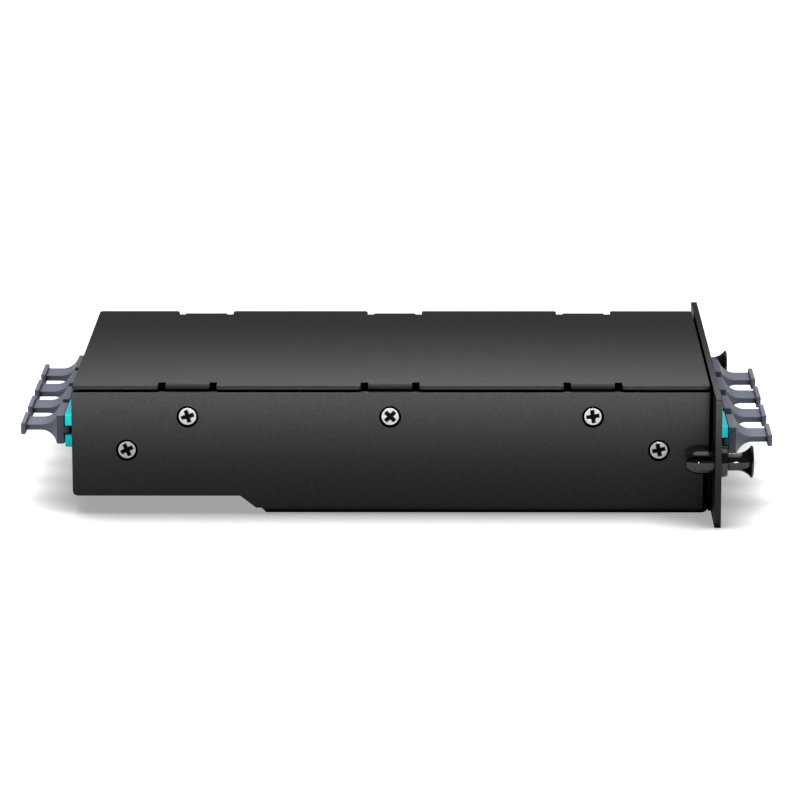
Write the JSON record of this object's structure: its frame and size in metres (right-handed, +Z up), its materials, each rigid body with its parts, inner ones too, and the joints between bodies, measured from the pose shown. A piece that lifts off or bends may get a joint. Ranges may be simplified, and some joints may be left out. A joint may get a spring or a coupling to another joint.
{
  "type": "fibre cassette",
  "caption": "Black folded-steel cassette with a wide latched front plate, capped multi-fibre adapters at front and rear, a screwed cover and fibre leads inside.",
  "frame": {"origin": "centre of the front plate's rear face, the face that seats on the rack frame", "axes": "+X out of the front, +Y along the front plate towards the far latch, +Z up to the cover"},
  "size_m": [0.2032, 0.13, 0.0353],
  "materials": {
    "black_powder_coat": "fine-grained satin black powder coat on folded steel",
    "nickel_steel": "bright nickel plate, cross recess",
    "spring_steel": "plain spring steel strip",
    "guide_plastic": "plain natural moulding",
    "latch_nylon": "glossy black nylon",
    "aqua_plastic": "smooth aqua moulding",
    "connector_plastic": "smooth aqua moulding",
    "boot_rubber": "soft black rubber",
    "lead_jacket": "round aqua jacket",
    "cap_plastic": "satin blue-grey moulding"
  },
  "bodies": {
    "cassette": {"base_tray": "black_powder_coat", "top_cover": "black_powder_coat", "front_plate": "black_powder_coat", "front_bracket": "black_powder_coat", "rear_bracket": "black_powder_coat", "cover_screws": "nickel_steel", "bracket_screws": "nickel_steel", "front_adapter_clips": "spring_steel", "rear_adapter_clips": "spring_steel", "front_lead_guide": "guide_plastic", "rear_lead_guide": "guide_plastic", "near_latch_grommet": "latch_nylon", "far_latch_grommet": "latch_nylon", "front_adapter_1": "aqua_plastic", "front_adapter_2": "aqua_plastic", "front_adapter_3": "aqua_plastic", "front_adapter_4": "aqua_plastic", "front_inner_connector_1": "connector_plastic", "front_inner_connector_2": "connector_plastic", "front_inner_connector_3": "connector_plastic", "front_inner_connector_4": "connector_plastic", "front_boot_1": "boot_rubber", "front_boot_2": "boot_rubber", "front_boot_3": "boot_rubber", "front_boot_4": "boot_rubber", "rear_adapter_1": "aqua_plastic", "rear_adapter_2": "aqua_plastic", "rear_adapter_3": "aqua_plastic", "rear_adapter_4": "aqua_plastic", "rear_inner_connector_1": "connector_plastic", "rear_inner_connector_2": "connector_plastic", "rear_inner_connector_3": "connector_plastic", "rear_inner_connector_4": "connector_plastic", "rear_boot_1": "boot_rubber", "rear_boot_2": "boot_rubber", "rear_boot_3": "boot_rubber", "rear_boot_4": "boot_rubber", "fibre_lead_1": "lead_jacket", "fibre_lead_2": "lead_jacket", "fibre_lead_3": "lead_jacket", "fibre_lead_4": "lead_jacket"},
    "near_latch": {"near_latch_plunger": "latch_nylon"},
    "far_latch": {"far_latch_plunger": "latch_nylon"},
    "front_cap_1": {"front_dust_cap_1": "cap_plastic"},
    "front_cap_2": {"front_dust_cap_2": "cap_plastic"},
    "front_cap_3": {"front_dust_cap_3": "cap_plastic"},
    "front_cap_4": {"front_dust_cap_4": "cap_plastic"},
    "rear_cap_1": {"rear_dust_cap_1": "cap_plastic"},
    "rear_cap_2": {"rear_dust_cap_2": "cap_plastic"},
    "rear_cap_3": {"rear_dust_cap_3": "cap_plastic"},
    "rear_cap_4": {"rear_dust_cap_4": "cap_plastic"}
  },
  "joints": [
    {"name": "near_latch_pull", "type": "slide", "parent": "cassette", "child": "near_latch", "axis": [1, 0, 0], "range_m": [0, 0.0045]},
    {"name": "far_latch_pull", "type": "slide", "parent": "cassette", "child": "far_latch", "axis": [1, 0, 0], "range_m": [0, 0.0045]},
    {"name": "front_cap_1_pull", "type": "slide", "parent": "cassette", "child": "front_cap_1", "axis": [1, 0, 0], "range_m": [0, 0.009]},
    {"name": "front_cap_2_pull", "type": "slide", "parent": "cassette", "child": "front_cap_2", "axis": [1, 0, 0], "range_m": [0, 0.009]},
    {"name": "front_cap_3_pull", "type": "slide", "parent": "cassette", "child": "front_cap_3", "axis": [1, 0, 0], "range_m": [0, 0.009]},
    {"name": "front_cap_4_pull", "type": "slide", "parent": "cassette", "child": "front_cap_4", "axis": [1, 0, 0], "range_m": [0, 0.009]},
    {"name": "rear_cap_1_pull", "type": "slide", "parent": "cassette", "child": "rear_cap_1", "axis": [-1, 0, 0], "range_m": [0, 0.009]},
    {"name": "rear_cap_2_pull", "type": "slide", "parent": "cassette", "child": "rear_cap_2", "axis": [-1, 0, 0], "range_m": [0, 0.009]},
    {"name": "rear_cap_3_pull", "type": "slide", "parent": "cassette", "child": "rear_cap_3", "axis": [-1, 0, 0], "range_m": [0, 0.009]},
    {"name": "rear_cap_4_pull", "type": "slide", "parent": "cassette", "child": "rear_cap_4", "axis": [-1, 0, 0], "range_m": [0, 0.009]}
  ]
}
